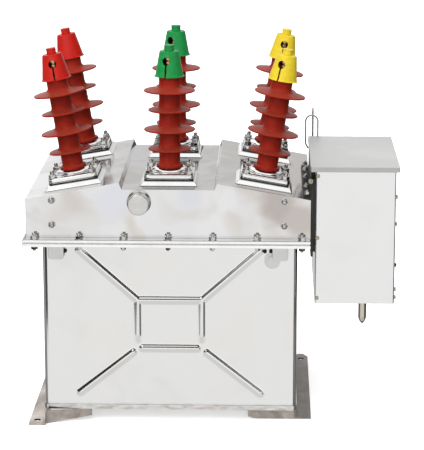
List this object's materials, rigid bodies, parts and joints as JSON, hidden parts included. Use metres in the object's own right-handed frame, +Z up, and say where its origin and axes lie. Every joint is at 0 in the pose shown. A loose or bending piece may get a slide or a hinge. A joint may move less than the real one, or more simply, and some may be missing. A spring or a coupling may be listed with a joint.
{
  "type": "outdoor vacuum circuit breaker",
  "caption": "Outdoor vacuum circuit breaker: ribbed steel tank on rails, hipped cover with red shedded bushings under coloured caps, and a mechanism box on one end.",
  "frame": {"origin": "on the ground under the middle of the outline, between the rails", "axes": "+Z up, +X from the tank towards the mechanism box, -Y towards the front with the round boss"},
  "size_m": [1.08, 0.738, 1.1],
  "materials": {
    "tank_steel": "satin stainless sheet",
    "cover_steel": "bright rolled stainless sheet",
    "box_steel": "satin stainless sheet",
    "flange_steel": "polished steel",
    "clamp_steel": "polished steel",
    "bright_fitting": "turned bright steel",
    "lug_steel": "dull steel",
    "knob_polish": "polished with a black tip",
    "gasket_rubber": "black rubber",
    "black_plate": "black",
    "red_silicone": "brick red silicone",
    "red_cap": "red",
    "green_cap": "green",
    "yellow_cap": "yellow",
    "terminal_brass": "brass",
    "rail_paint": "dull grey steel"
  },
  "bodies": {
    "root": {"tank_shell": "tank_steel", "tank_lip": "tank_steel", "tank_flange": "flange_steel", "cover_gasket": "gasket_rubber", "cover_flange": "flange_steel", "cover_shell": "cover_steel", "cover_boss": "bright_fitting", "bushing_seats": "flange_steel", "bushing_pads": "gasket_rubber", "clamp_front_left": "clamp_steel", "clamp_front_mid": "clamp_steel", "clamp_front_right": "clamp_steel", "clamp_back_left": "clamp_steel", "clamp_back_mid": "clamp_steel", "clamp_back_right": "clamp_steel", "insulator_front_left": "red_silicone", "insulator_front_mid": "red_silicone", "insulator_front_right": "red_silicone", "insulator_back_left": "red_silicone", "insulator_back_mid": "red_silicone", "insulator_back_right": "red_silicone", "cap_front_left": "red_cap", "cap_front_mid": "green_cap", "cap_front_right": "yellow_cap", "cap_back_left": "red_cap", "cap_back_mid": "green_cap", "cap_back_right": "yellow_cap", "terminals": "terminal_brass", "rail_left": "rail_paint", "rail_right": "rail_paint", "cross_left": "rail_paint", "cross_right": "rail_paint", "hoist_lugs": "lug_steel", "drain_valve": "lug_steel", "mount_plate": "black_plate", "mount_seal": "gasket_rubber", "box_body": "box_steel", "box_lid": "box_steel", "release_knob": "knob_polish", "lifting_rings": "bright_fitting"}
  },
  "joints": []
}
